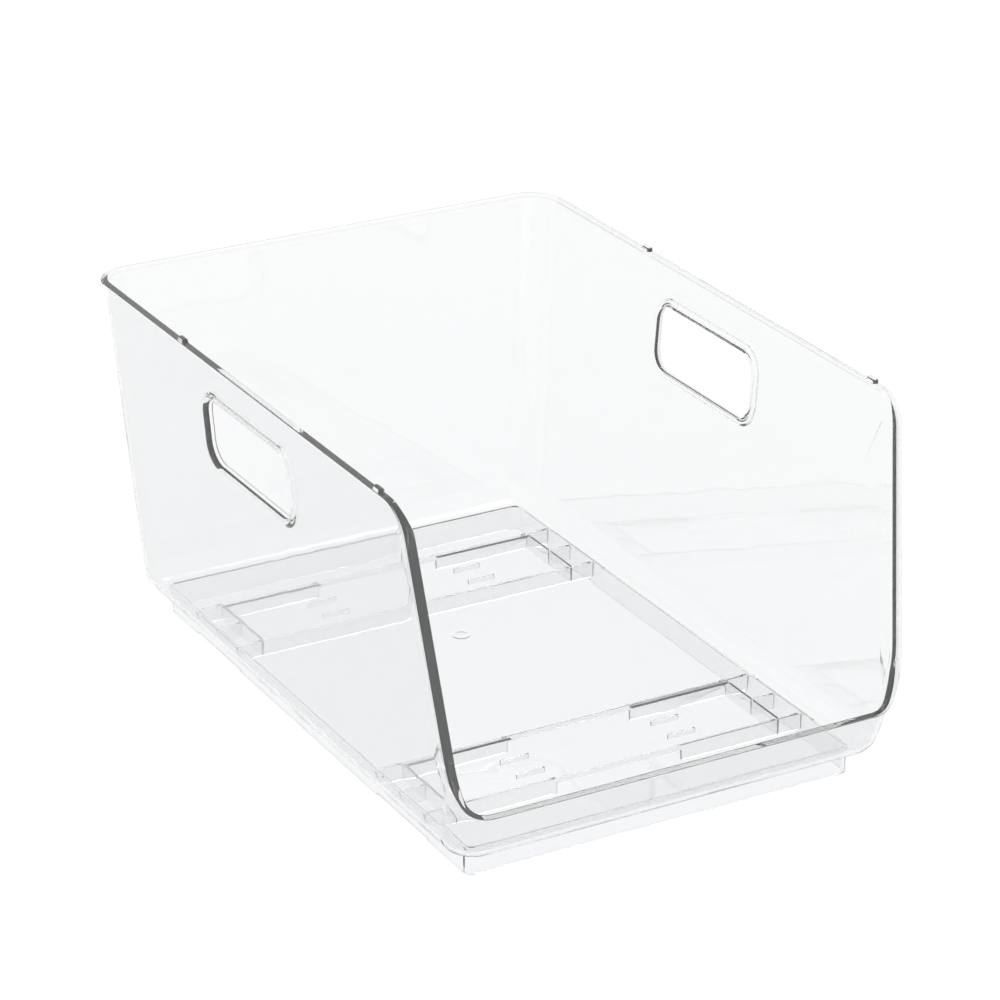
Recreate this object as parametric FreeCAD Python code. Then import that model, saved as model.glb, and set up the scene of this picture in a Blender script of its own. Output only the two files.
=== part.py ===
import FreeCAD, Part
import os

# Clear open-front fridge bin, moulded in one material and drawn here as its named regions.
# Frame: +Z up, -Y is the open front, origin at the middle of the footprint on the surface
# that the base skirt stands on.  All sizes are in millimetres.

# ---- driving dimensions ----------------------------------------------------------------
RIM_WIDTH = 254.0            # over the rim bead, left to right
DEPTH = 352.0                # over the lip bead and the rear rim bead
RIM_HEIGHT = 178.0           # top of the rim above the surface
WALL = 2.0
FLOOR_THICK = 2.0
BASE_HEIGHT = 12.5           # the skirt lifts the floor's underside this far

BEAD_OUT = 1.7               # the rim bead stands out from the wall by this
RIM_BEAD_DEEP = 3.3          # and runs down the wall by this under the rim,
EDGE_BEAD_DEEP = 3.6         # back from the side walls' front edges,
LIP_BEAD_DEEP = 2.4          # and down from the lip
EDGE_IN = 1.8                # the front edges are this much thicker on the inside too
SIDE_DRAFT = 0.08            # how far each wall leans outward per millimetre of height
REAR_DRAFT = 0.04
LIP_LEAN = 0.30
CORNER_RADIUS = 16.5         # vertical corners, in plan, on the outside of the wall
BOTTOM_RADIUS = 12.0         # where the walls turn into the floor, on the outside

LIP_TOP = 37.0               # height of the low front lip
OPENING_TOP_Y = -145.5       # the side walls' front edges lean back to here at the rim
OPENING_LOW_Y = -172.0       # and start from here at the lip
OPENING_TOP_RADIUS = 17.0
OPENING_LOW_RADIUS = 10.0

SLOT_LENGTH = 85.0           # hand slot through each side wall
SLOT_HEIGHT = 33.0
SLOT_RADIUS = 9.5
SLOT_MIDDLE_Y = 10.0
SLOT_MIDDLE_Z = 141.2
COLLAR_WIDE = 3.5            # ring around the slot, as proud of the wall as the rim bead
COLLAR_IN = 0.7              # and this much proud on the inside

SKIRT_HALF_WIDTH = 100.0
SKIRT_FRONT_Y = -154.9
SKIRT_REAR_Y = 155.5
SKIRT_WALL = 1.8
SKIRT_RADIUS = 4.5
NOTCH_DEEP = 1.0             # shallow reliefs under the skirt's sides, one at each rib band

BAND_LENGTH = 48.0           # front to back, over the two cross ribs of a band
BAND_MIDDLES = {"front": -93.3, "rear": 98.2}
RIB_DEEP = 8.0
RIB_THICK = 2.0
RIB_WEB_DEEP = 2.5           # the middle third of a cross rib is only this deep
RIB_INNER_X = 32.5           # the deep thirds start here
FULL_RIB = "rear_band_front_rib"   # the one cross rib that stays deep all the way
END_RIB_X = 85.0             # lengthwise rib that closes each end box
END_RIB_THICK = 1.4
PAD_LENGTH = 15.0            # short bars in the pockets
PAD_THICK = 1.2
PAD_SPACING = 15.0
PAD_FORWARD = 4.0            # they sit this far in front of the band's middle

NUB_LENGTH = 6.8             # locating nubs on top of the rim
NUB_WIDTH = 3.2
NUB_HEIGHT = 2.0
NUB_YS = (-124.3, 71.5)

GATE_RADIUS = 5.8            # round gate mark under the floor
GATE_DEEP = 0.6
GATE_Y = 34.0

# ---- worked out from them ----------------------------------------------------------------
WALL_HEIGHT = RIM_HEIGHT - BASE_HEIGHT
BASE_HALF_WIDTH = RIM_WIDTH / 2 - BEAD_OUT - SIDE_DRAFT * WALL_HEIGHT
BASE_REAR_Y = DEPTH / 2 - BEAD_OUT - REAR_DRAFT * WALL_HEIGHT
BASE_FRONT_Y = -(DEPTH / 2 - BEAD_OUT - LIP_LEAN * (LIP_TOP - BASE_HEIGHT))
FLOOR_TOP = BASE_HEIGHT + FLOOR_THICK
CORNER_X = BASE_HALF_WIDTH - CORNER_RADIUS     # the rear wall and the lip run this far each way
REAR_CORNER_Y = BASE_REAR_Y - CORNER_RADIUS
FRONT_CORNER_Y = -150.0
FRONT_CORNER_TOP = 64.0
BIG = 600.0                  # larger than the bin, for cutting blocks


def box(x0, x1, y0, y1, z0, z1):
    return Part.makeBox(x1 - x0, y1 - y0, z1 - z0, FreeCAD.Vector(x0, y0, z0))


def rounded_rectangle(half_width, front, rear, z, radius):
    """Closed wire of a rectangle with rounded corners, lying flat at height z."""
    corners = [(half_width, rear, 0), (-half_width, rear, 90),
               (-half_width, front, 180), (half_width, front, 270)]
    arcs = []
    for x, y, start in corners:
        middle = FreeCAD.Vector(x - radius * (1 if x > 0 else -1),
                                y - radius * (1 if y == rear else -1), z)
        arcs.append(Part.makeCircle(radius, middle, FreeCAD.Vector(0, 0, 1), start, start + 90))
    edges = []
    for arc, following in zip(arcs, arcs[1:] + arcs[:1]):
        edges += [arc, Part.makeLine(arc.lastVertex().Point, following.firstVertex().Point)]
    return Part.Wire(edges)


def tapered_block(offset, bottom):
    """The bin's outside grown by offset, as a solid from the height bottom to the rim."""
    def section(z):
        rise = z - BASE_HEIGHT
        return rounded_rectangle(BASE_HALF_WIDTH + SIDE_DRAFT * rise + offset,
                                 BASE_FRONT_Y - LIP_LEAN * rise - offset,
                                 BASE_REAR_Y + REAR_DRAFT * rise + offset,
                                 z, CORNER_RADIUS + offset)
    return Part.makeLoft([section(bottom), section(RIM_HEIGHT)], True, True)


def round_bottom(solid, radius):
    """Rounds the edge all round the solid's lowest face."""
    lowest = solid.BoundBox.ZMin
    edges = [edge for edge in solid.Edges if edge.BoundBox.ZMax < lowest + 1e-3]
    return solid.makeFillet(radius, edges)


def side_prism(points):
    """Closed outline of (y, z) points, carried right across the bin."""
    corners = [FreeCAD.Vector(-BIG / 2, y, z) for y, z in points]
    outline = Part.makePolygon(corners + corners[:1])
    return Part.Face(outline).extrude(FreeCAD.Vector(BIG, 0, 0))


def round_across(solid, radius, y, z):
    """Rounds the edge that crosses the bin at (y, z)."""
    for edge in solid.Edges:
        middle = edge.CenterOfMass
        along_x = edge.BoundBox.XLength > BIG / 2
        if along_x and abs(middle.y - y) < 1e-3 and abs(middle.z - z) < 1e-3:
            return solid.makeFillet(radius, [edge])
    raise ValueError("no edge crosses the bin at y=%.2f z=%.2f" % (y, z))


def side_view_block(rim_inset, edge_inset, lip_inset):
    """What is left of the bin in side view, drawn in from the rim, front edges and lip."""
    slope = (OPENING_TOP_Y - OPENING_LOW_Y) / (RIM_HEIGHT - LIP_TOP)
    shift = edge_inset * (1 + slope ** 2) ** 0.5
    top, lip = RIM_HEIGHT - rim_inset, LIP_TOP - lip_inset
    top_y = OPENING_LOW_Y + slope * (top - LIP_TOP) + shift
    low_y = OPENING_LOW_Y + slope * (lip - LIP_TOP) + shift
    block = side_prism([(-BIG, -BIG), (-BIG, lip), (low_y, lip), (top_y, top),
                        (BIG, top), (BIG, -BIG)])
    block = round_across(block, OPENING_TOP_RADIUS - rim_inset, top_y, top)
    return round_across(block, OPENING_LOW_RADIUS + edge_inset, low_y, lip)


def slot_prism(grow):
    """The hand slots' outline, grown by grow, carried right across the bin."""
    length, height = SLOT_LENGTH / 2 + grow, SLOT_HEIGHT / 2 + grow
    prism = box(-BIG / 2, BIG / 2, SLOT_MIDDLE_Y - length, SLOT_MIDDLE_Y + length,
                SLOT_MIDDLE_Z - height, SLOT_MIDDLE_Z + height)
    edges = [edge for edge in prism.Edges if edge.BoundBox.XLength > BIG / 2]
    return prism.makeFillet(SLOT_RADIUS + grow, edges)


def split_shell(shell):
    """Cuts the shell into its regions.  Each region takes what the ones before it left."""
    left, right = (-BIG, 0), (0, BIG)
    middle = (-CORNER_X, CORNER_X)
    everywhere = (-BIG, BIG)
    regions = [
        ("floor_panel", (-SKIRT_HALF_WIDTH, SKIRT_HALF_WIDTH), (SKIRT_FRONT_Y, SKIRT_REAR_Y),
         (0, FLOOR_TOP + 1)),
        ("rear_wall", middle, (REAR_CORNER_Y, BIG), everywhere),
        ("front_lip", middle, (-BIG, FRONT_CORNER_Y), (-BIG, FRONT_CORNER_TOP)),
        ("left_rear_corner", left, (REAR_CORNER_Y, BIG), everywhere),
        ("right_rear_corner", right, (REAR_CORNER_Y, BIG), everywhere),
        ("left_front_corner", left, (-BIG, FRONT_CORNER_Y), (-BIG, FRONT_CORNER_TOP)),
        ("right_front_corner", right, (-BIG, FRONT_CORNER_Y), (-BIG, FRONT_CORNER_TOP)),
        ("left_wall", left, everywhere, everywhere),
        ("right_wall", right, everywhere, everywhere),
    ]
    nodes = {}
    for name, xs, ys, zs in regions:
        block = box(*xs, *ys, *zs)
        nodes[name] = shell.common(block)
        shell = shell.cut(block)
    return nodes


def split_bead(bead):
    """Cuts the rim bead into its lip, rear, left and right runs."""
    runs = [
        ("lip_bead", (-CORNER_X, CORNER_X), (-BIG, 0)),
        ("rear_rim_bead", (-CORNER_X, CORNER_X), (0, BIG)),
        ("left_rim_bead", (-BIG, 0), (-BIG, BIG)),
        ("right_rim_bead", (0, BIG), (-BIG, BIG)),
    ]
    nodes = {}
    for name, xs, ys in runs:
        block = box(*xs, *ys, 0, BIG)
        nodes[name] = bead.common(block)
        bead = bead.cut(block)
    return nodes


def make_skirt():
    """The upright skirt under the floor, as its four sides."""
    def ring(inset):
        outline = rounded_rectangle(SKIRT_HALF_WIDTH - inset, SKIRT_FRONT_Y + inset,
                                    SKIRT_REAR_Y - inset, 0, SKIRT_RADIUS - inset)
        return Part.Face(outline).extrude(FreeCAD.Vector(0, 0, BASE_HEIGHT))

    skirt = ring(0).cut(ring(SKIRT_WALL))
    for middle in BAND_MIDDLES.values():
        skirt = skirt.cut(box(-BIG, BIG, middle - BAND_LENGTH / 2, middle + BAND_LENGTH / 2,
                              0, NOTCH_DEEP))
    sides = {
        "front_skirt": box(-BIG, BIG, -BIG, SKIRT_FRONT_Y + SKIRT_RADIUS, 0, BASE_HEIGHT),
        "rear_skirt": box(-BIG, BIG, SKIRT_REAR_Y - SKIRT_RADIUS, BIG, 0, BASE_HEIGHT),
        "left_skirt": box(-BIG, 0, SKIRT_FRONT_Y + SKIRT_RADIUS, SKIRT_REAR_Y - SKIRT_RADIUS,
                          0, BASE_HEIGHT),
        "right_skirt": box(0, BIG, SKIRT_FRONT_Y + SKIRT_RADIUS, SKIRT_REAR_Y - SKIRT_RADIUS,
                           0, BASE_HEIGHT),
    }
    return {name: skirt.common(side) for name, side in sides.items()}


def make_band(band, middle):
    """One band of stiffening ribs under the floor, all inside the skirt."""
    inside = SKIRT_HALF_WIDTH - SKIRT_WALL
    rib_edges = {"front": middle - BAND_LENGTH / 2, "rear": middle + BAND_LENGTH / 2 - RIB_THICK}
    nodes = {}
    for side, y in rib_edges.items():
        name = "%s_band_%s_rib" % (band, side)
        nodes[name] = box(-inside, inside, y, y + RIB_THICK, BASE_HEIGHT - RIB_DEEP, BASE_HEIGHT)
        if name != FULL_RIB:
            relief = box(-RIB_INNER_X, RIB_INNER_X, y, y + RIB_THICK,
                         0, BASE_HEIGHT - RIB_WEB_DEEP)
            nodes[name] = nodes[name].cut(relief)

    low, high = rib_edges["front"] + RIB_THICK, rib_edges["rear"]
    bottom = BASE_HEIGHT - RIB_DEEP
    for side, sign in (("left", -1), ("right", 1)):
        long_x = sorted((sign * END_RIB_X, sign * (END_RIB_X + END_RIB_THICK)))
        cross_x = sorted((sign * (END_RIB_X + END_RIB_THICK), sign * inside))
        long_rib = box(*long_x, low, high, bottom, BASE_HEIGHT)
        cross_rib = box(*cross_x, middle - END_RIB_THICK / 2, middle + END_RIB_THICK / 2,
                        bottom, BASE_HEIGHT)
        nodes["%s_band_%s_end_rib" % (band, side)] = long_rib.fuse(cross_rib).removeSplitter()

    pads = []
    pads_y = middle - PAD_FORWARD
    for sign in (-1, 1):
        ends = sorted((sign * RIB_INNER_X, sign * (RIB_INNER_X + PAD_LENGTH)))
        for y in (pads_y - PAD_SPACING / 2, pads_y + PAD_SPACING / 2):
            pads.append(box(*ends, y - PAD_THICK / 2, y + PAD_THICK / 2,
                            BASE_HEIGHT - RIB_WEB_DEEP, BASE_HEIGHT))
    nodes["%s_band_short_bars" % band] = Part.makeCompound(pads)
    return nodes


def make_nubs():
    """Four small round-topped nubs that stand on the side runs of the rim."""
    x = RIM_WIDTH / 2 - (WALL + BEAD_OUT) / 2
    nubs = []
    for side in (-x, x):
        for y in NUB_YS:
            nub = box(side - NUB_WIDTH / 2, side + NUB_WIDTH / 2,
                      y - NUB_LENGTH / 2, y + NUB_LENGTH / 2, RIM_HEIGHT, RIM_HEIGHT + NUB_HEIGHT)
            top = [edge for edge in nub.Edges if edge.BoundBox.ZMin > RIM_HEIGHT + NUB_HEIGHT / 2]
            nubs.append(nub.makeFillet(NUB_HEIGHT / 2, top))
    return Part.makeCompound(nubs)


def main():
    outside = tapered_block(0, BASE_HEIGHT)
    inside = tapered_block(-WALL, FLOOR_TOP)
    proud = tapered_block(BEAD_OUT, BASE_HEIGHT)
    kept = side_view_block(0, 0, 0)
    rim_strip = kept.cut(side_view_block(RIM_BEAD_DEEP, EDGE_BEAD_DEEP, LIP_BEAD_DEEP))
    collar_outline = slot_prism(COLLAR_WIDE)

    shell = round_bottom(outside, BOTTOM_RADIUS).cut(round_bottom(inside, BOTTOM_RADIUS - WALL))
    nodes = split_shell(shell.common(kept).cut(collar_outline))
    nodes.update(split_bead(proud.cut(outside).common(rim_strip)))

    edges = inside.cut(tapered_block(-WALL - EDGE_IN, FLOOR_TOP)).common(rim_strip)
    edges = edges.common(box(-BIG, BIG, -BIG, SLOT_MIDDLE_Y, LIP_TOP + OPENING_LOW_RADIUS,
                             RIM_HEIGHT - OPENING_TOP_RADIUS))
    collars = proud.cut(tapered_block(-WALL - COLLAR_IN, FLOOR_TOP))
    collars = collars.common(collar_outline.cut(slot_prism(0)))
    for side, xs in (("left", (-BIG, 0)), ("right", (0, BIG))):
        half = box(*xs, -BIG, BIG, 0, BIG)
        nodes["%s_front_edge" % side] = edges.common(half)
        nodes["%s_slot_collar" % side] = collars.common(half)
    nodes["rim_nubs"] = make_nubs()

    nodes.update(make_skirt())
    for band, middle in BAND_MIDDLES.items():
        nodes.update(make_band(band, middle))
    nodes["gate_mark"] = Part.makeCylinder(GATE_RADIUS, GATE_DEEP,
                                           FreeCAD.Vector(0, GATE_Y, BASE_HEIGHT - GATE_DEEP))

    os.makedirs("parts", exist_ok=True)
    for name, shape in nodes.items():
        if not shape.isValid() or not shape.Solids:
            raise ValueError("%s isn't a sound solid" % name)
        shape.exportStep("parts/%s.step" % name)
        size = shape.BoundBox
        print("%-24s %d solid(s) %9.1f mm3  %7.1f x %7.1f x %7.1f" % (
            name, len(shape.Solids), shape.Volume, size.XLength, size.YLength, size.ZLength))


main()
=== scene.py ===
import math

import bmesh
import bpy
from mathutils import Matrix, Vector


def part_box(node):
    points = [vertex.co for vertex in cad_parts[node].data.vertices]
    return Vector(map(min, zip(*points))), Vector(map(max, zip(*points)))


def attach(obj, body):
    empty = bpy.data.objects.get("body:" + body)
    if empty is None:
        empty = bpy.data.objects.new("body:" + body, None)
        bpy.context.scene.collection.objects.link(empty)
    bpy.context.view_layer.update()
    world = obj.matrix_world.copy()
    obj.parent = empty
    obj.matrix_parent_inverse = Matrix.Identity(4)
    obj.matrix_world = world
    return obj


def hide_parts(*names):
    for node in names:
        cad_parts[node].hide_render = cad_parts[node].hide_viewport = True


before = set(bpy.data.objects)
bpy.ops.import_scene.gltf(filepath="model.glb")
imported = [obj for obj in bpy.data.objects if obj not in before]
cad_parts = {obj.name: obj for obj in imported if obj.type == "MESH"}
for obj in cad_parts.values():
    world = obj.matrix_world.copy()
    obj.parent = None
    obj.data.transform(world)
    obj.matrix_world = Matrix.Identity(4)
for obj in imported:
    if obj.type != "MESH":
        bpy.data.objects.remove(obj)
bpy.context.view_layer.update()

# Clear open-front fridge bin.  The real bin is one clear moulding, so the CAD regions are
# replaced by one continuous mesh: seams between them would show through the plastic.
# Shapes are worked out in millimetres in the CAD frame (+Z up, -Y the open front).
MM = 0.001


def corners(node):
    """Lowest and highest corners of a CAD node, in millimetres."""
    low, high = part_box(node)
    return low / MM, high / MM


# ---- sizes read from the CAD frame -----------------------------------------------------------
FLOOR_LOW, FLOOR_HIGH = corners("floor_panel")
RIGHT_WALL_HIGH = corners("right_wall")[1]
REAR_WALL_HIGH = corners("rear_wall")[1]
RIM_BEAD_HIGH = corners("right_rim_bead")[1]
COLLAR_LOW, COLLAR_HIGH = corners("right_slot_collar")

RIM_Z = RIGHT_WALL_HIGH.z
BASE_Z = FLOOR_LOW.z
FLOOR_TOP_Z = FLOOR_HIGH.z
WALL = FLOOR_TOP_Z - BASE_Z
BEAD_OUT = RIM_BEAD_HIGH.x - RIGHT_WALL_HIGH.x

# ---- shape of the walls, as the CAD has them -------------------------------------------------
SIDE_DRAFT = 0.08            # outward lean of each wall per millimetre of height
REAR_DRAFT = 0.04
LIP_LEAN = 0.30
CORNER_RADIUS = 16.5
BOTTOM_RADIUS = 12.0
LIP_TOP = 37.0
OPENING_TOP_Y = -145.5
OPENING_LOW_Y = -172.0
OPENING_TOP_RADIUS = 17.0
OPENING_LOW_RADIUS = 10.0
BASE_FRONT_Y = -(RIM_BEAD_HIGH.y - BEAD_OUT - LIP_LEAN * (LIP_TOP - BASE_Z))
MID = -WALL / 2              # the wall's middle surface, measured from its outside

RIM_BEAD_DEEP = 3.3
EDGE_BEAD_DEEP = 3.6
LIP_BEAD_DEEP = 2.4
EDGE_IN = 1.8                # the front edges are this much thicker on the inside too
BEAD_ROUND = 0.3             # roundings of the bead's top edges
INNER_ROUND = 0.9            # on the inside, away from the thickened front edges
BEAD_SIDE = 0.9              # its side is upright this far down, then coves in to the wall
BEAD_COVE = 1.6              # power of the cove's curve

INNER_FADE = 12.0            # the thicker front edges fade into the wall's inside this far in
EDGE_FADE = (1.15, 1.85)     # the front corner's labels between which the edge grows thicker

COLLAR_WIDE = 3.5
COLLAR_PROUD = 1.2           # the ring swells this far from each face of the wall
COLLAR_FADE = 1.4            # and dies out this far past the CAD ring
COLLAR_SINK = 0.25           # its edges start this far inside the wall
COLLAR_ROUND = 0.3
GRIP_ROUND = 1.9             # larger rounding where fingers come in from outside
SLOT_RADIUS = 9.5
SLOT_MIDDLE_Y = (COLLAR_LOW.y + COLLAR_HIGH.y) / 2
SLOT_MIDDLE_Z = (COLLAR_LOW.z + COLLAR_HIGH.z) / 2

SKIRT_RADIUS = 4.5
SKIRT_WALL = 1.8
SKIRT_ROUND = 0.4
BANDS = ("front", "rear")    # the two bands of ribs under the floor
NOTCH_DEEP = 1.0             # reliefs in the side skirts at the two bands
RIB_WEB_DEEP = 2.5
RIB_INNER_X = 32.5
FULL_RIB = ("rear", "front") # the one rib that is deep over its full width
END_RIB_THICK = 1.4
HAUNCH_LONG = 4.0            # sloping haunch in front of each band's rear rib
HAUNCH_DEEP = 1.5
HAUNCH_START = 0.05          # it starts this far inside the floor
BAR_LENGTH = 15.0
BAR_THICK = 1.2
RIB_ROUND = 0.3
RIB_DRAFT = 0.04             # each face of a rib leans in by this per millimetre of depth
NUB_LENGTH = 6.8
NUB_WIDTH = 3.2
NUB_ROUND = 1.3
NUB_ROOT = 2.0               # nubs reach this far down into the rim before the union
GATE_FACE = 0.3              # the gate mark stands this far below the floor
# Its section, as shares of its radius and of GATE_FACE.
GATE_PROFILE = ((0.8, 1.0), (0.6, 1.0), (0.45, 0.5), (0.2, 0.5), (0.1, 1.0))
EMBED = 1.0                  # ribs and skirt reach this far into the floor before the union
NOTCH_SLOPE = 0.3            # length of a relief's sloping ends

# ---- how finely curved faces are divided -----------------------------------------------------
LIP_STEPS = 8                # along half the rim, from the middle of the lip
FRONT_CORNER_STEPS = 32
EDGE_STEPS = 12
ROUNDING_STEPS = 16
SIDE_STEPS = 18
REAR_CORNER_STEPS = 14
REAR_STEPS = 6
COVE_SHARES = (0.0, 0.12, 0.25, 0.4, 0.55, 0.7, 0.85, 1.0)
FADE_SHARES = (0.0, 0.17, 0.33, 0.5, 0.67, 0.83, 1.0)
SWELL_SHARES = (0.0, 0.15, 0.3, 0.45, 0.6, 0.75, 0.9)
FILLET_ROWS = 8
WALL_ROWS = 8
SLOT_STEPS = 10
EDGE_ROUND_STEPS = 3
INNER_ROUND_STEPS = 4
COLLAR_STEPS = 6
SKIRT_STEPS = 10
GATE_SIDES = 40
RIB_SEGMENTS = 2
NUB_SEGMENTS = 4
BISECTIONS = 50
SHARP_ANGLE = 35.0           # edges sharper than this stay crisp, in degrees
FLAT_WEIGHT = 100            # how far large flat faces decide the shading at their edges


# ---- the walls' surfaces ---------------------------------------------------------------------
# A point on a half outline of the walls has a label q: 0 to 1 is the front, from its middle to
# the corner, 1 to 2 the front corner, 2 to 3 the side, 3 to 4 the rear corner and 4 to 5 the rear.

def outline_centres(z):
    """Corner centres' x, front y and rear y at the height z."""
    x = RIGHT_WALL_HIGH.x - SIDE_DRAFT * (RIM_Z - z) - CORNER_RADIUS
    front = BASE_FRONT_Y - LIP_LEAN * (z - BASE_Z) + CORNER_RADIUS
    rear = REAR_WALL_HIGH.y - REAR_DRAFT * (RIM_Z - z) - CORNER_RADIUS
    return x, front, rear


def outline_angle(q):
    """Direction of the outward normal, seen from above."""
    return math.radians(90 * (min(max(q - 2, -1), 0) + min(max(q - 3, 0), 1)))


def outline_lean(q):
    """Outward lean of the wall at q, per millimetre of height."""
    angle = outline_angle(q)
    across = LIP_LEAN if angle < 0 else REAR_DRAFT
    return SIDE_DRAFT * math.cos(angle) + across * abs(math.sin(angle))


def outline_point(q, z, offset):
    """Point of the wall's outside grown by offset."""
    x, front, rear = outline_centres(z)
    angle = outline_angle(q)
    radius = CORNER_RADIUS + offset
    centre_x = x * min(q, 1, 5 - q)
    centre_y = front + (rear - front) * min(max(q - 2, 0), 1)
    return Vector((centre_x + radius * math.cos(angle), centre_y + radius * math.sin(angle), z))


def stretch_lengths(z):
    """Lengths of the outline's five stretches at the height z, on the wall's middle surface."""
    x, front, rear = outline_centres(z)
    arc = (CORNER_RADIUS + MID) * math.pi / 2
    return [x, arc, rear - front, arc, x]


def slide_along(q, z, distance):
    """Label of the point that lies this far along the outline from q."""
    lengths = stretch_lengths(z)
    stretch = min(int(q), 4)
    along = sum(lengths[:stretch]) + (q - stretch) * lengths[stretch] + distance
    for index, length in enumerate(lengths):
        if along <= length or index == 4:
            return index + along / length
        along -= length


def tuck(z, lean, base, radius):
    """How far the bottom rounding draws the wall in at the height z."""
    rise = z - base
    slant = math.hypot(1, lean)
    if rise >= radius * (1 - lean / slant):
        return 0.0
    across = math.sqrt(max(radius ** 2 - (radius - rise) ** 2, 0))
    return lean * (rise - radius) + radius * slant - across


# ---- the opening's outline in side view ------------------------------------------------------
EDGE_SLOPE = (OPENING_TOP_Y - OPENING_LOW_Y) / (RIM_Z - LIP_TOP)
EDGE_LEAN = math.atan(EDGE_SLOPE)
HALF_TURN = math.tan((math.pi / 2 + EDGE_LEAN) / 2)
LOW_TANGENT = OPENING_LOW_RADIUS / HALF_TURN
TOP_TANGENT = OPENING_TOP_RADIUS / HALF_TURN
LOW_CENTRE = (OPENING_LOW_Y - LOW_TANGENT, LIP_TOP + OPENING_LOW_RADIUS)
TOP_CENTRE = (OPENING_TOP_Y + TOP_TANGENT, RIM_Z - OPENING_TOP_RADIUS)
LOW_END_Y = OPENING_LOW_Y + math.sin(EDGE_LEAN) * LOW_TANGENT
TOP_START_Z = RIM_Z - math.cos(EDGE_LEAN) * TOP_TANGENT


def opening_height(y):
    """Height of the lip, the low rounding or the front edge at y."""
    if y <= LOW_CENTRE[0]:
        return LIP_TOP
    if y < LOW_END_Y:
        return LOW_CENTRE[1] - math.sqrt(OPENING_LOW_RADIUS ** 2 - (y - LOW_CENTRE[0]) ** 2)
    return LIP_TOP + (y - OPENING_LOW_Y) / EDGE_SLOPE


def corner_rim_height(q):
    """Height at which the front corner's middle surface meets the opening, by bisection."""
    low, high = LIP_TOP, RIM_Z
    for _ in range(BISECTIONS):
        z = (low + high) / 2
        if z < opening_height(outline_point(q, z, MID).y):
            low = z
        else:
            high = z
    return low


def side_label(y, z):
    """Label of the side wall's point at this y and height."""
    _, front, rear = outline_centres(z)
    return 2 + (y - front) / (rear - front)


def steps(start, end, count):
    """Evenly spaced values from start up to, but not including, end."""
    return [start + (end - start) * index / count for index in range(count)]


def half_rim():
    """(q, z) along one half of the rim, from the middle of the lip to the middle of the rear."""
    lip_z = corner_rim_height(1.0)
    rim = [(q, lip_z) for q in steps(0, 1, LIP_STEPS)]
    rim += [(q, corner_rim_height(q)) for q in steps(1, 2, FRONT_CORNER_STEPS)]
    for z in steps(corner_rim_height(2.0), TOP_START_Z, EDGE_STEPS):
        rim.append((side_label(OPENING_LOW_Y + EDGE_SLOPE * (z - LIP_TOP), z), z))
    for angle in steps(math.pi - EDGE_LEAN, math.pi / 2, ROUNDING_STEPS):
        y = TOP_CENTRE[0] + OPENING_TOP_RADIUS * math.cos(angle)
        z = TOP_CENTRE[1] + OPENING_TOP_RADIUS * math.sin(angle)
        rim.append((side_label(y, z), z))
    rim += [(q, RIM_Z) for q in steps(side_label(TOP_CENTRE[0], RIM_Z), 3, SIDE_STEPS)]
    rim += [(q, RIM_Z) for q in steps(3, 4, REAR_CORNER_STEPS)]
    rim += [(q, RIM_Z) for q in steps(4, 5, REAR_STEPS)] + [(5.0, RIM_Z)]
    return rim


# ---- the rim's section and the walls' columns ------------------------------------------------
def smooth(value):
    """Eases from 0 to 1 as value goes from 0 to 1."""
    value = min(max(value, 0.0), 1.0)
    return value * value * (3 - 2 * value)


def edge_share(q, z):
    """1 along the side walls' front edges, fading to 0 along the lip and the top of the rim."""
    if q < 2:
        return smooth((q - EDGE_FADE[0]) / (EDGE_FADE[1] - EDGE_FADE[0]))
    return 1 - smooth((z - TOP_START_Z) / (RIM_Z - TOP_START_Z))


def quarter(count):
    """(sine, cosine) from 0 to 90 degrees."""
    angles = [math.pi / 2 * index / count for index in range(count + 1)]
    return [(math.sin(angle), math.cos(angle)) for angle in angles]


def rim_section(deep, thicker, share):
    """Section of the rim from the outside to the inside, as (out from mid-wall, down the wall)."""
    face, wall, inner = WALL / 2 + BEAD_OUT, WALL / 2, -WALL / 2 - thicker
    r = BEAD_ROUND
    section = []
    for part in COVE_SHARES:
        down = deep + r - part * (deep + r - BEAD_SIDE)
        section.append((wall + (face - wall) * part ** BEAD_COVE, down))
    section += [(face - r * (1 - c), r * (1 - s)) for s, c in quarter(EDGE_ROUND_STEPS)]
    inside = INNER_ROUND + (r - INNER_ROUND) * share
    section += [(inner + inside * (1 - s), inside * (1 - c))
                for s, c in quarter(INNER_ROUND_STEPS)]
    last = deep + r + (INNER_FADE - deep - r) * share
    for part in FADE_SHARES:
        down = inside + r + part * (last - inside - r)
        section.append((inner + (-wall - inner) * smooth(part), down))
    return section


def rim_frames(rim):
    """For each rim point, the way down the wall: (along the outline, up) per millimetre."""
    points = [outline_point(q, z, MID) for q, z in rim]
    frames = []
    for index, (q, z) in enumerate(rim):
        before, after = max(index - 1, 0), min(index + 1, len(rim) - 1)
        tangent = (points[after] - points[before]).normalized()
        if index in (0, len(rim) - 1):
            tangent = Vector((tangent.x, 0, 0)).normalized()
        angle = outline_angle(q)
        normal = Vector((math.cos(angle), math.sin(angle), -outline_lean(q))).normalized()
        down = tangent.cross(normal).normalized()
        rise = (outline_point(q, z + 1, MID) - outline_point(q, z, MID))
        along = Vector((-math.sin(angle), math.cos(angle), 0))
        frames.append(((down - rise * down.z).dot(along), down.z))
    return frames


def wall_point(q, z, out):
    """Point this far out from the middle of the wall, measured level."""
    angle, lean = outline_angle(q), outline_lean(q)
    normal = Vector((math.cos(angle), math.sin(angle), -lean))
    return outline_point(q, z, MID) + normal * (out / (1 + lean * lean))


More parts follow.
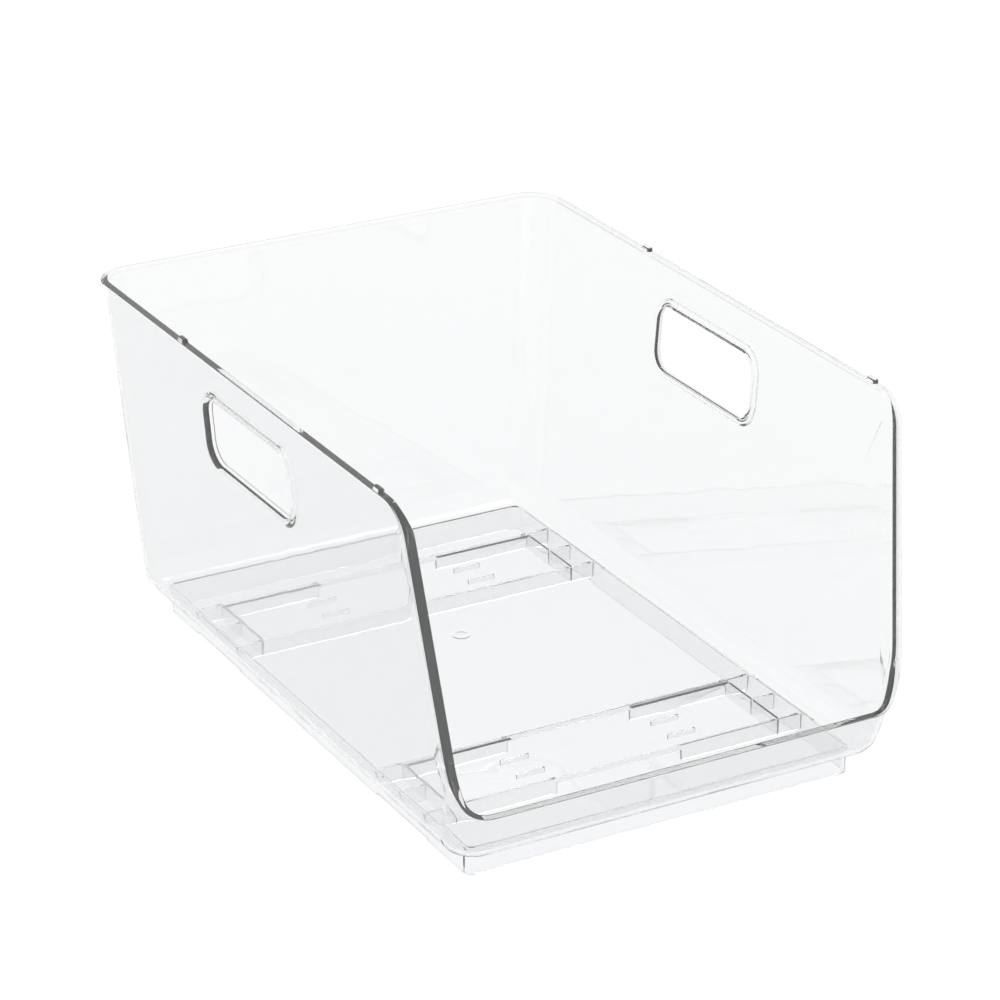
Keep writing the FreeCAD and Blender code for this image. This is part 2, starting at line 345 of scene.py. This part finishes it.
def wall_side(top, low_q, offset, base, radius):
    """One face of the wall, from the edge of the floor up to just under the rim's section."""
    lean = outline_lean(low_q)
    last = math.pi / 2 - math.atan(lean)
    column = []
    for angle in steps(0, last, FILLET_ROWS):
        z = base + radius * (1 - math.cos(angle))
        column.append(outline_point(low_q, z, offset - tuck(z, lean, base, radius)))
    low_z = base + radius * (1 - math.cos(last))
    for share in steps(0, 1, WALL_ROWS):
        q = low_q + (top[0] - low_q) * share
        z = low_z + (top[1] - low_z) * share
        column.append(outline_point(q, z, offset))
    return column


def half_columns():
    """Columns of points round the moulding's section, one at each rim point of the right half."""
    rim = half_rim()
    frames = rim_frames(rim)
    points = [outline_point(q, z, MID) for q, z in rim]
    travelled = [0.0]
    for before, after in zip(points, points[1:]):
        travelled.append(travelled[-1] + (after - before).length)
    side_start = next(index for index, (q, _) in enumerate(rim) if q >= 2)
    side_end = next(index for index, (q, _) in enumerate(rim) if q >= 3)

    columns = []
    for index, ((q, z), (along, up)) in enumerate(zip(rim, frames)):
        low_q = q
        if side_start <= index <= side_end:
            low_q = 2 + ((travelled[index] - travelled[side_start])
                         / (travelled[side_end] - travelled[side_start]))
        share = edge_share(q, z)
        shallow = LIP_BEAD_DEEP if q < 2 else RIM_BEAD_DEEP
        band = []
        for out, down in rim_section(shallow + (EDGE_BEAD_DEEP - shallow) * share,
                                     EDGE_IN * share, share):
            at_z = z + down * up
            band.append((slide_along(q, at_z, down * along), at_z, out))
        outside = wall_side(band[0][:2], low_q, 0, BASE_Z, BOTTOM_RADIUS)
        inside = wall_side(band[-1][:2], low_q, -WALL, FLOOR_TOP_Z, BOTTOM_RADIUS - WALL)
        columns.append(outside + [wall_point(*place) for place in band] + inside[::-1])
    return columns


# ---- mesh building ---------------------------------------------------------------------------
def make_object(name, bm):
    """Turns a bmesh in millimetres into an object in metres, with its faces turned outward."""
    bmesh.ops.recalc_face_normals(bm, faces=bm.faces)
    bmesh.ops.scale(bm, vec=(MM, MM, MM), verts=bm.verts)
    mesh = bpy.data.meshes.new(name)
    bm.to_mesh(mesh)
    bm.free()
    piece = bpy.data.objects.new(name, mesh)
    bpy.context.scene.collection.objects.link(piece)
    return piece


def skin_columns(name, columns, cap):
    """Closed skin over a ring of equal columns of points.  With cap, the first and last points
    of the columns are each closed with one face; without, each column is itself a loop."""
    bm = bmesh.new()
    rows = len(columns[0])
    rings = [[bm.verts.new(column[row]) for column in columns] for row in range(rows)]
    count = len(columns)
    pairs = zip(rings, rings[1:]) if cap else zip(rings, rings[1:] + rings[:1])
    for lower, upper in pairs:
        for index in range(count):
            following = (index + 1) % count
            bm.faces.new((lower[index], lower[following], upper[following], upper[index]))
    if cap:
        bm.faces.new(rings[0])
        bm.faces.new(rings[-1])
    return make_object(name, bm)


def rounded_box(name, low, high, rounding, segments, draft=0.0):
    """Box with every edge rounded.  With draft, it narrows downward by that on each face."""
    bm = bmesh.new()
    bmesh.ops.create_cube(bm, size=1)
    size = [b - a for a, b in zip(low, high)]
    middle = [(a + b) / 2 for a, b in zip(low, high)]
    bmesh.ops.scale(bm, vec=size, verts=bm.verts)
    bmesh.ops.translate(bm, vec=middle, verts=bm.verts)
    bmesh.ops.bevel(bm, geom=bm.edges, offset=rounding, segments=segments, profile=0.5,
                    affect="EDGES")
    for vert in bm.verts:
        inset = draft * (high[2] - vert.co.z)
        vert.co.x -= math.copysign(inset, vert.co.x - middle[0])
        vert.co.y -= math.copysign(inset, vert.co.y - middle[1])
    return make_object(name, bm)


def combine(base, tool, operation):
    """Boolean of two closed solids, applied to base; tool is used up."""
    modifier = base.modifiers.new(operation.lower(), "BOOLEAN")
    modifier.operation = operation
    modifier.solver = "MANIFOLD"
    modifier.object = tool
    graph = bpy.context.evaluated_depsgraph_get()
    result = bpy.data.meshes.new_from_object(base.evaluated_get(graph))
    base.modifiers.clear()
    old = base.data
    base.data = result
    bpy.data.meshes.remove(old)
    bpy.data.objects.remove(tool)


# ---- the moulding's features -----------------------------------------------------------------
def make_shell():
    """Floor, walls, corners, lip and rim bead in one skin."""
    right = half_columns()
    left = [[Vector((-p.x, p.y, p.z)) for p in column] for column in right[-2:0:-1]]
    return skin_columns("bin_moulding", right + left, cap=True)


def slot_corners(grow):
    """Points (y, z) round the hand slot's outline, grown by grow."""
    middles = []
    for start, y, z in ((0, COLLAR_HIGH.y, COLLAR_HIGH.z), (90, COLLAR_LOW.y, COLLAR_HIGH.z),
                        (180, COLLAR_LOW.y, COLLAR_LOW.z), (270, COLLAR_HIGH.y, COLLAR_LOW.z)):
        reach = SLOT_RADIUS + COLLAR_WIDE
        middles.append((start, y - math.copysign(reach, y - SLOT_MIDDLE_Y),
                        z - math.copysign(reach, z - SLOT_MIDDLE_Z)))
    outline = []
    for start, y, z in middles:
        for index in range(SLOT_STEPS + 1):
            angle = math.radians(start + 90 * index / SLOT_STEPS)
            outline.append((y + (SLOT_RADIUS + grow) * math.cos(angle),
                            z + (SLOT_RADIUS + grow) * math.sin(angle)))
    return outline


def make_slot_cutter():
    """Bar through both side walls.  The rings then fill its margin round the hand slots."""
    far = RIM_BEAD_HIGH.x + COLLAR_WIDE
    columns = [[Vector((x, y, z)) for x in (-far, far)] for y, z in slot_corners(COLLAR_WIDE / 2)]
    return skin_columns("slot_cutter", columns, cap=True)


def collar_section():
    """Section of the ring round a hand slot, as (away from the hole, out from mid-wall)."""
    face = WALL / 2 + COLLAR_PROUD
    buried = WALL / 2 - COLLAR_SINK
    last = COLLAR_WIDE + COLLAR_FADE
    section = []
    for side, r in ((1, GRIP_ROUND), (-1, COLLAR_ROUND)):
        swell = [(last + (r - last) * part, buried + (face - buried) * smooth(part))
                 for part in SWELL_SHARES]
        bend = [(r * (1 - s), face - r * (1 - c)) for s, c in quarter(COLLAR_STEPS)]
        half = [(wide, side * out) for wide, out in swell + bend]
        section += half if side > 0 else half[::-1]
    return section


def make_collar(side):
    """Ring through the wall round one hand slot.  side is 1 for the right and -1 for the left."""
    loops = []
    for wide, out in collar_section():
        loop = []
        for y, z in slot_corners(wide):
            point = wall_point(side_label(y, z), z, out)
            loop.append(Vector((side * point.x, point.y, point.z)))
        loops.append(loop)
    columns = [list(column) for column in zip(*loops)]
    return skin_columns("slot_collar", columns, cap=False)


def band_span(band):
    """Front and rear y of a band of ribs."""
    return corners("%s_band_front_rib" % band)[0].y, corners("%s_band_rear_rib" % band)[1].y


def foot_height(y):
    """Height of the skirt's underside: the sides are relieved at the two bands of ribs."""
    for band in BANDS:
        low, high = band_span(band)
        if low <= y <= high:
            return NOTCH_DEEP
    return 0.0


def make_skirt():
    """Upright skirt round the underside, as one closed loop."""
    x = corners("right_skirt")[1].x
    front = corners("front_skirt")[0].y
    rear = corners("rear_skirt")[1].y
    notch_ys = []
    for band in BANDS:
        low, high = band_span(band)
        notch_ys += [low - NOTCH_SLOPE, low, high, high + NOTCH_SLOPE]
    notch_ys.sort()

    path = []                # (middle x, middle y, angle) round the skirt's rounded corners
    for start, sign_x, y in ((-90, 1, front), (0, 1, rear), (90, -1, rear), (180, -1, front)):
        middle_x = sign_x * (x - SKIRT_RADIUS)
        middle_y = y + math.copysign(SKIRT_RADIUS, -y)
        for index in range(SKIRT_STEPS + 1):
            angle = math.radians(start + 90 * index / SKIRT_STEPS)
            path.append((middle_x, middle_y, angle))
        if start == -90:
            path += [(middle_x, notch_y, 0.0) for notch_y in notch_ys]
        if start == 90:
            path += [(middle_x, notch_y, math.pi) for notch_y in reversed(notch_ys)]
    columns = []
    for middle_x, middle_y, angle in path:
        foot = foot_height(middle_y)
        r = SKIRT_ROUND
        section = [(SKIRT_RADIUS, BASE_Z + EMBED)]
        section += [(SKIRT_RADIUS - r * (1 - c), foot + r * (1 - s))
                    for s, c in quarter(EDGE_ROUND_STEPS)]
        inner = SKIRT_RADIUS - SKIRT_WALL
        section += [(inner + r * (1 - s), foot + r * (1 - c))
                    for s, c in quarter(EDGE_ROUND_STEPS)]
        section.append((inner, BASE_Z + EMBED))
        columns.append([Vector((middle_x + reach * math.cos(angle),
                                middle_y + reach * math.sin(angle), z)) for reach, z in section])
    return skin_columns("skirt", columns, cap=False)


def rib_boxes():
    """Low and high corners of every rib and bar under the floor, set into the floor and skirt."""
    boxes = []
    top = BASE_Z + EMBED
    for band in BANDS:
        for edge in ("front", "rear"):
            low, high = corners("%s_band_%s_rib" % (band, edge))
            x = high.x + SKIRT_WALL / 2
            if (band, edge) == FULL_RIB:
                boxes.append(((-x, low.y, low.z), (x, high.y, top)))
                continue
            web = BASE_Z - RIB_WEB_DEEP
            boxes.append(((-x, low.y, low.z), (-RIB_INNER_X, high.y, top)))
            boxes.append(((RIB_INNER_X, low.y, low.z), (x, high.y, top)))
            boxes.append(((-RIB_INNER_X - EMBED, low.y, web), (RIB_INNER_X + EMBED, high.y, top)))
        low, high = corners("%s_band_right_end_rib" % band)
        middle = (low.y + high.y) / 2
        bars_low, bars_high = corners("%s_band_short_bars" % band)
        for side in (-1, 1):
            lengthwise = sorted((side * low.x, side * (low.x + END_RIB_THICK)))
            cross = sorted((side * (low.x + END_RIB_THICK / 2), side * (high.x + EMBED)))
            boxes.append(((lengthwise[0], low.y - EMBED, low.z),
                          (lengthwise[1], high.y + EMBED, top)))
            boxes.append(((cross[0], middle - END_RIB_THICK / 2, low.z),
                          (cross[1], middle + END_RIB_THICK / 2, top)))
            bars = sorted((side * (bars_high.x - BAR_LENGTH), side * bars_high.x))
            for y in (bars_low.y, bars_high.y - BAR_THICK):
                boxes.append(((bars[0], y, bars_low.z), (bars[1], y + BAR_THICK, top)))
    return boxes


def make_haunch(band, side):
    """Wedge that leads from the floor's underside into the deep end of a band's rear rib."""
    y = corners("%s_band_rear_rib" % band)[0].y
    outer_x = corners("%s_band_right_end_rib" % band)[0].x
    section = ((y - HAUNCH_LONG, BASE_Z + HAUNCH_START), (y + EMBED, BASE_Z - HAUNCH_DEEP),
               (y + EMBED, BASE_Z + EMBED), (y - HAUNCH_LONG, BASE_Z + EMBED))
    columns = [[Vector((side * x, y, z)) for x in (RIB_INNER_X, outer_x)] for y, z in section]
    return skin_columns("haunch", columns, cap=True)


def make_ribs():
    """Haunches, ribs and bars of both bands, one at a time."""
    for band in BANDS:
        for side in (-1, 1):
            yield make_haunch(band, side)
    for low, high in rib_boxes():
        yield rounded_box("rib", low, high, RIB_ROUND, RIB_SEGMENTS, RIB_DRAFT)


def make_nubs():
    low, high = corners("rim_nubs")
    for x in (low.x, high.x - NUB_WIDTH):
        for y in (low.y, high.y - NUB_LENGTH):
            yield rounded_box("nub", (x, y, low.z - NUB_ROOT),
                              (x + NUB_WIDTH, y + NUB_LENGTH, high.z),
                              NUB_ROUND, NUB_SEGMENTS)


def make_gate_mark():
    """Shallow round mark with a raised rim under the floor, where the plastic came in."""
    low, high = corners("gate_mark")
    middle = (low + high) / 2
    radius = (high.x - low.x) / 2
    profile = [(1.0, BASE_Z + EMBED), (1.0, BASE_Z)]
    profile += [(reach, BASE_Z - GATE_FACE * share) for reach, share in GATE_PROFILE]
    columns = []
    for index in range(GATE_SIDES):
        angle = 2 * math.pi * index / GATE_SIDES
        columns.append([Vector((middle.x + reach * radius * math.cos(angle),
                                middle.y + reach * radius * math.sin(angle), z))
                        for reach, z in profile])
    return skin_columns("gate_mark", columns, cap=True)


def finish_surface(piece):
    """Smooth shading that keeps flat faces flat and corners crisp."""
    mesh = piece.data
    mesh.shade_smooth()
    mesh.set_sharp_from_angle(angle=math.radians(SHARP_ANGLE))
    modifier = piece.modifiers.new("flat_faces_first", "WEIGHTED_NORMAL")
    modifier.keep_sharp = True
    modifier.weight = FLAT_WEIGHT
    graph = bpy.context.evaluated_depsgraph_get()
    piece.data = bpy.data.meshes.new_from_object(piece.evaluated_get(graph))
    piece.modifiers.clear()
    piece.data.name = piece.name
    bpy.data.meshes.remove(mesh)


def make_moulding():
    """The whole bin as one closed mesh."""
    piece = make_shell()
    combine(piece, make_slot_cutter(), "DIFFERENCE")
    for side in (1, -1):
        combine(piece, make_collar(side), "UNION")
    combine(piece, make_skirt(), "UNION")
    for rib in make_ribs():
        combine(piece, rib, "UNION")
    for nub in make_nubs():
        combine(piece, nub, "UNION")
    combine(piece, make_gate_mark(), "UNION")
    finish_surface(piece)
    return piece


# ---- material --------------------------------------------------------------------------------
PLASTIC_COLOR = (0.88, 0.885, 0.89, 1)
TRANSMISSION = 0.981         # the rest is a trace of haze
REFRACTION = 1.5
POLISH_SCALE = 24.0
POLISH_ROUGHNESS = (0.012, 0.035)
WAVE_SCALE = 20.0
WAVE_STRENGTH = 0.25
WAVE_HEIGHT = 0.0004
NOISE_DETAIL = 2.0
NOISE_SPAN = (0.3, 0.7)      # nearly all values of the noise lie between these
PASSED_LIGHT = (0.985, 0.987, 0.99, 1)


def link_noise(nodes, links, place, scale, span):
    """Soft noise through the moulding, mapped to the span."""
    noise = nodes.new("ShaderNodeTexNoise")
    noise.inputs["Scale"].default_value = scale
    noise.inputs["Detail"].default_value = NOISE_DETAIL
    links.new(place, noise.inputs["Vector"])
    spread = nodes.new("ShaderNodeMapRange")
    spread.inputs["From Min"].default_value, spread.inputs["From Max"].default_value = NOISE_SPAN
    spread.inputs["To Min"].default_value, spread.inputs["To Max"].default_value = span
    links.new(noise.outputs[0], spread.inputs["Value"])
    return spread.outputs["Result"]


def clear_plastic():
    """Clear styrene: nearly colourless, a trace of haze, faint flow waves and uneven polish.
    Light from lamps and off the floor passes straight through, as the thin walls let it."""
    material = bpy.data.materials.new("clear_plastic")
    material.use_nodes = True
    nodes, links = material.node_tree.nodes, material.node_tree.links
    nodes.clear()
    place = nodes.new("ShaderNodeTexCoord").outputs["Object"]
    plastic = nodes.new("ShaderNodeBsdfPrincipled")
    plastic.inputs["Base Color"].default_value = PLASTIC_COLOR
    plastic.inputs["Transmission Weight"].default_value = TRANSMISSION
    plastic.inputs["IOR"].default_value = REFRACTION
    roughness = link_noise(nodes, links, place, POLISH_SCALE, POLISH_ROUGHNESS)
    links.new(roughness, plastic.inputs["Roughness"])
    waves = nodes.new("ShaderNodeBump")
    waves.inputs["Strength"].default_value = WAVE_STRENGTH
    waves.inputs["Distance"].default_value = WAVE_HEIGHT
    relief = link_noise(nodes, links, place, WAVE_SCALE, (0.0, 1.0))
    links.new(relief, waves.inputs["Height"])
    links.new(waves.outputs["Normal"], plastic.inputs["Normal"])

    through = nodes.new("ShaderNodeBsdfTransparent")
    through.inputs["Color"].default_value = PASSED_LIGHT
    path = nodes.new("ShaderNodeLightPath")
    surface = plastic.outputs[0]
    for ray in ("Is Diffuse Ray", "Is Shadow Ray"):
        mix = nodes.new("ShaderNodeMixShader")
        links.new(path.outputs[ray], mix.inputs[0])
        links.new(surface, mix.inputs[1])
        links.new(through.outputs[0], mix.inputs[2])
        surface = mix.outputs[0]
    output = nodes.new("ShaderNodeOutputMaterial")
    links.new(surface, output.inputs["Surface"])
    return material


# ---- floor, light and camera -----------------------------------------------------------------
# Angles are azimuth and elevation in degrees: 0, 0 looks along +Y at the open front.
FLOOR_REACH = 6.0
FLOOR_WHITE = (0.9, 0.9, 0.9, 1)
SKY_STRENGTH = 1.05
SOFTBOX_ANGLES = (128, 53.5)
SOFTBOX_DISTANCE = 6.0
SOFTBOX_SIZE = 1.5
SOFTBOX_RADIANCE = 9.5
SOFTBOX_TARGET = Vector((0, 0, 0.1))
CAMERA_ANGLES = (-29.12, 23.94)
CAMERA_DISTANCE = 1.8074
CAMERA_TARGET = Vector((0.00455, 0.00348, 0.0960))
CAMERA_LENS = 138.06         # focal length and sensor width, in millimetres
CAMERA_SENSOR = 36.0
CAMERA_RANGE = (0.05, 50)


def direction(angles):
    """Unit vector from the bin towards these angles."""
    azimuth, elevation = (math.radians(angle) for angle in angles)
    return Vector((math.sin(azimuth) * math.cos(elevation),
                   -math.cos(azimuth) * math.cos(elevation), math.sin(elevation)))


def make_stage():
    """White, matt studio floor."""
    mesh = bpy.data.meshes.new("studio_floor")
    signs = ((-1, -1), (1, -1), (1, 1), (-1, 1))
    mesh.from_pydata([(FLOOR_REACH * x, FLOOR_REACH * y, 0) for x, y in signs], [],
                     [(0, 1, 2, 3)])
    floor = bpy.data.objects.new("studio_floor", mesh)
    bpy.context.scene.collection.objects.link(floor)
    material = bpy.data.materials.new("studio_white")
    material.use_nodes = True
    shader = material.node_tree.nodes["Principled BSDF"]
    shader.inputs["Base Color"].default_value = FLOOR_WHITE
    shader.inputs["Roughness"].default_value = 1.0
    shader.inputs["Specular IOR Level"].default_value = 0.0
    mesh.materials.append(material)


def make_softbox(name, angles, distance, size, radiance):
    """Square lamp that faces the bin from this direction."""
    away = direction(angles)
    lamp = bpy.data.lights.new(name, "AREA")
    lamp.shape = "RECTANGLE"
    lamp.size, lamp.size_y = size, size
    lamp.energy = radiance * math.pi * size * size
    softbox = bpy.data.objects.new(name, lamp)
    softbox.location = SOFTBOX_TARGET + away * distance
    softbox.rotation_euler = away.to_track_quat("Z", "Y").to_euler()
    bpy.context.scene.collection.objects.link(softbox)


def make_light():
    """Even white surroundings, and one high lamp that the top of the front lip mirrors."""
    world = bpy.data.worlds.new("soft_studio")
    bpy.context.scene.world = world
    world.use_nodes = True
    background = world.node_tree.nodes["Background"]
    background.inputs["Color"].default_value = (1, 1, 1, 1)
    background.inputs["Strength"].default_value = SKY_STRENGTH
    make_softbox("high_softbox", SOFTBOX_ANGLES, SOFTBOX_DISTANCE, SOFTBOX_SIZE,
                 SOFTBOX_RADIANCE)
    bpy.context.scene.view_settings.view_transform = "Standard"


def make_camera():
    """Camera at the photograph's viewing angle."""
    towards = direction(CAMERA_ANGLES)
    lens = bpy.data.cameras.new("photo_camera")
    lens.sensor_width = CAMERA_SENSOR
    lens.lens = CAMERA_LENS
    lens.clip_start, lens.clip_end = CAMERA_RANGE
    camera = bpy.data.objects.new("photo_camera", lens)
    camera.location = CAMERA_TARGET + towards * CAMERA_DISTANCE
    camera.rotation_euler = towards.to_track_quat("Z", "Y").to_euler()
    bpy.context.scene.collection.objects.link(camera)
    bpy.context.scene.camera = camera


moulding = make_moulding()
moulding.data.materials.clear()
moulding.data.materials.append(clear_plastic())
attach(moulding, "root")
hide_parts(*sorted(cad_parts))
make_stage()
make_light()
make_camera()
